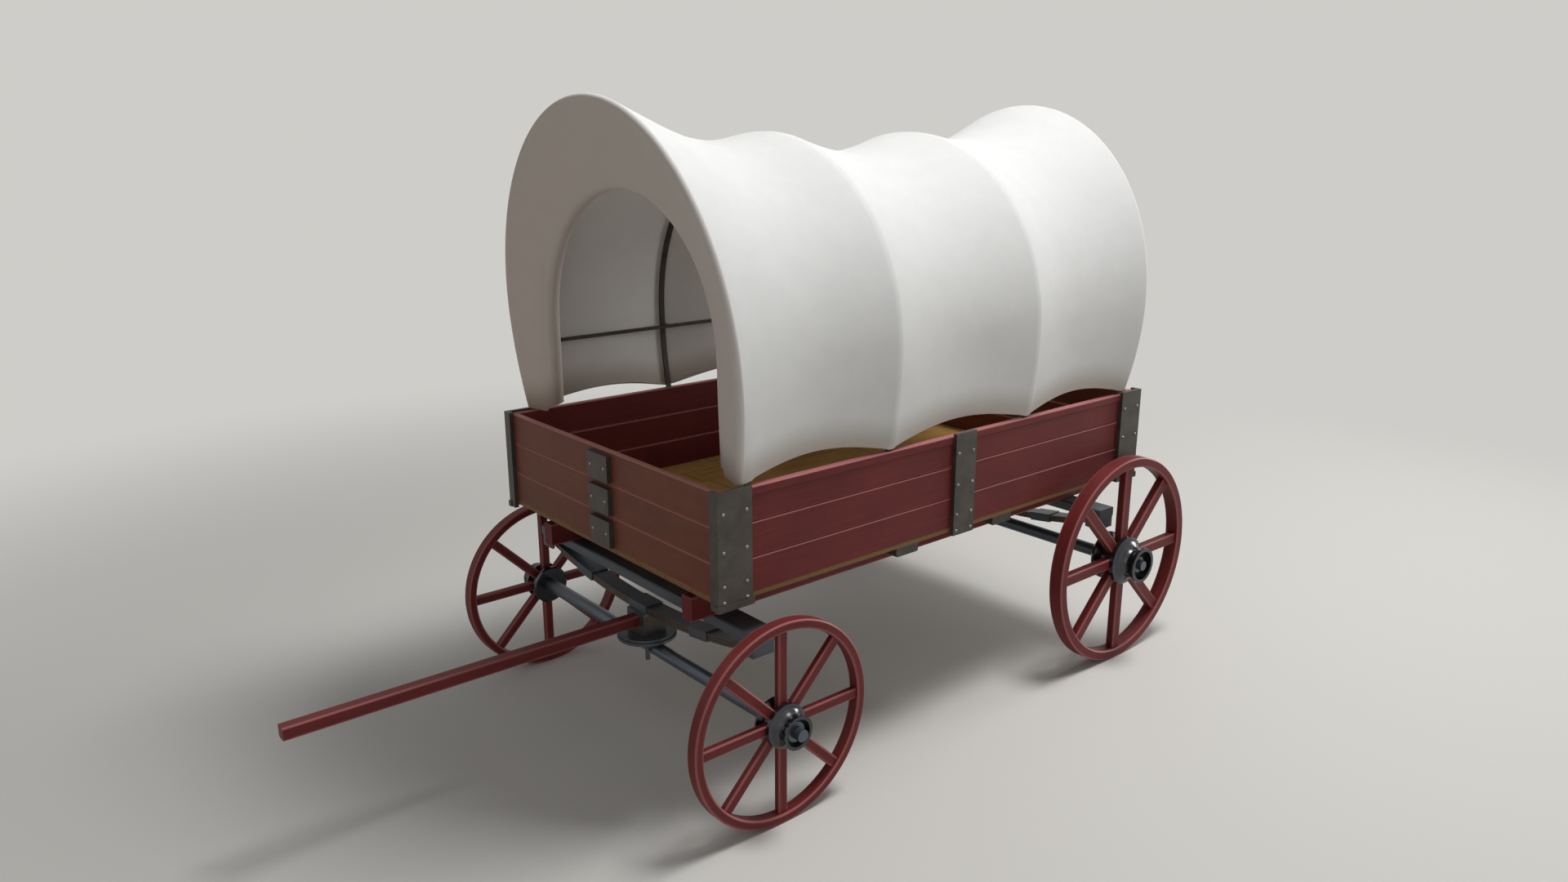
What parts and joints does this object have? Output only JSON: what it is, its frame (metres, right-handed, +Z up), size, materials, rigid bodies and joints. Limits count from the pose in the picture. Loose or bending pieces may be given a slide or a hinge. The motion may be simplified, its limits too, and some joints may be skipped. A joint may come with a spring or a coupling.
{
  "type": "covered wagon",
  "caption": "Horse-drawn covered wagon with a red plank box, iron straps, cross springs, spoked wheels, a steered front axle with a draught pole and a canvas cover on hoops.",
  "frame": {"origin": "on the ground under the middle of the overall length, on the centre plane", "axes": "+X forward to the tip of the pole, +Y to the left side, +Z up"},
  "size_m": [4.9098, 2.39, 3.124],
  "materials": {
    "red_wood": "worn matte red paint on planks",
    "floor_wood": "bare sawn boards",
    "dark_iron": "dark forged iron, satin",
    "grey_steel": "dull blue-grey steel",
    "canvas": "plain off-white canvas"
  },
  "bodies": {
    "wagon": {"floor_boards": "floor_wood", "side_left": "red_wood", "side_right": "red_wood", "front_panel": "red_wood", "rear_panel": "red_wood", "panel_plates": "dark_iron", "iron_front_left": "dark_iron", "iron_front_right": "dark_iron", "iron_rear_left": "dark_iron", "iron_rear_right": "dark_iron", "iron_mid_left": "dark_iron", "iron_mid_right": "dark_iron", "sill_left": "red_wood", "sill_right": "red_wood", "cross_members": "dark_iron", "bolster_front": "dark_iron", "bolster_rear": "dark_iron", "hoop_front_end": "dark_iron", "hoop_front_middle": "dark_iron", "hoop_rear_middle": "dark_iron", "hoop_rear_end": "dark_iron", "side_rods": "dark_iron", "cover": "canvas", "spring_front_leaves": "grey_steel", "spring_front_bands": "dark_iron", "spring_front_hangers": "dark_iron", "spring_front_saddle": "dark_iron", "spring_rear_leaves": "grey_steel", "spring_rear_bands": "dark_iron", "spring_rear_hangers": "dark_iron", "spring_rear_seat": "dark_iron", "kingpin": "grey_steel", "axle_rear": "grey_steel", "axle_rear_nuts": "dark_iron"},
    "front_carriage": {"axle_front": "grey_steel", "axle_front_nuts": "dark_iron", "turntable_lower": "dark_iron", "turntable_upper": "dark_iron", "pole_block": "dark_iron", "pole": "red_wood"},
    "wheel_front_left": {"rim_front_left": "red_wood", "spokes_front_left": "red_wood", "hub_front_left": "dark_iron"},
    "wheel_front_right": {"rim_front_right": "red_wood", "spokes_front_right": "red_wood", "hub_front_right": "dark_iron"},
    "wheel_rear_left": {"rim_rear_left": "red_wood", "spokes_rear_left": "red_wood", "hub_rear_left": "dark_iron"},
    "wheel_rear_right": {"rim_rear_right": "red_wood", "spokes_rear_right": "red_wood", "hub_rear_right": "dark_iron"}
  },
  "joints": [
    {"name": "steer", "type": "hinge", "parent": "wagon", "child": "front_carriage", "pos_m": [0.7, 0, 0.65], "axis": [0, 0, 1], "range_deg": [-30, 30]},
    {"name": "spin_front_left", "type": "hinge", "parent": "front_carriage", "child": "wheel_front_left", "pos_m": [0.7, 1.047, 0.48], "axis": [0, 1, 0], "continuous": true},
    {"name": "spin_front_right", "type": "hinge", "parent": "front_carriage", "child": "wheel_front_right", "pos_m": [0.7, -1.047, 0.48], "axis": [0, 1, 0], "continuous": true},
    {"name": "spin_rear_left", "type": "hinge", "parent": "wagon", "child": "wheel_rear_left", "pos_m": [-1.855, 1.036, 0.6], "axis": [0, 1, 0], "continuous": true},
    {"name": "spin_rear_right", "type": "hinge", "parent": "wagon", "child": "wheel_rear_right", "pos_m": [-1.855, -1.036, 0.6], "axis": [0, 1, 0], "continuous": true}
  ]
}
